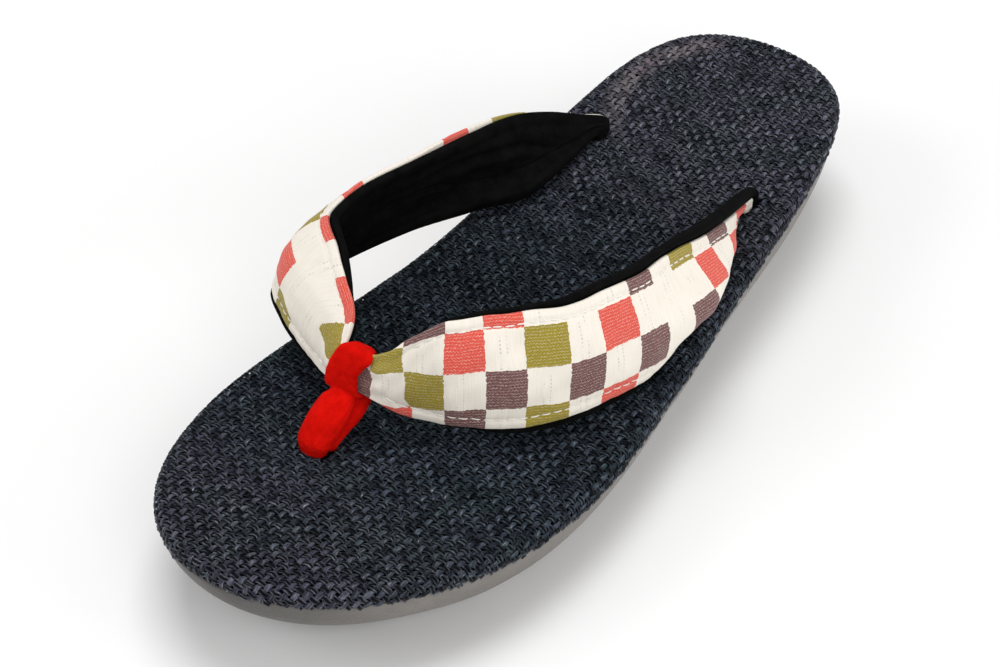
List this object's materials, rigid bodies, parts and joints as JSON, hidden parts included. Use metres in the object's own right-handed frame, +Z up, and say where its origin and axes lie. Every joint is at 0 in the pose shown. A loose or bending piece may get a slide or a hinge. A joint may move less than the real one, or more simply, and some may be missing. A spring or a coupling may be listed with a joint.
{
  "type": "zori sandal",
  "caption": "Left zori sandal: a wedge sole under a woven footbed, and a printed V strap on a padded lining, held by a tie between the toes.",
  "frame": {"origin": "on the floor, under the middle of the sandal's length and width", "axes": "+Y from toe to heel, +X towards the outer side of the foot, +Z up"},
  "size_m": [0.097, 0.245, 0.0591],
  "materials": {
    "sole": "matt, finely grained",
    "footbed": "plain weave of flat, slightly shiny navy strands",
    "strap_lining": "black velvet over padding",
    "strap_cover": "cream slub cotton, printed with checks",
    "toe_tie": "red velvet"
  },
  "bodies": {
    "root": {"sole": "sole", "footbed": "footbed", "strap_lining": "strap_lining", "strap_cover": "strap_cover", "toe_tie": "toe_tie"}
  },
  "joints": []
}
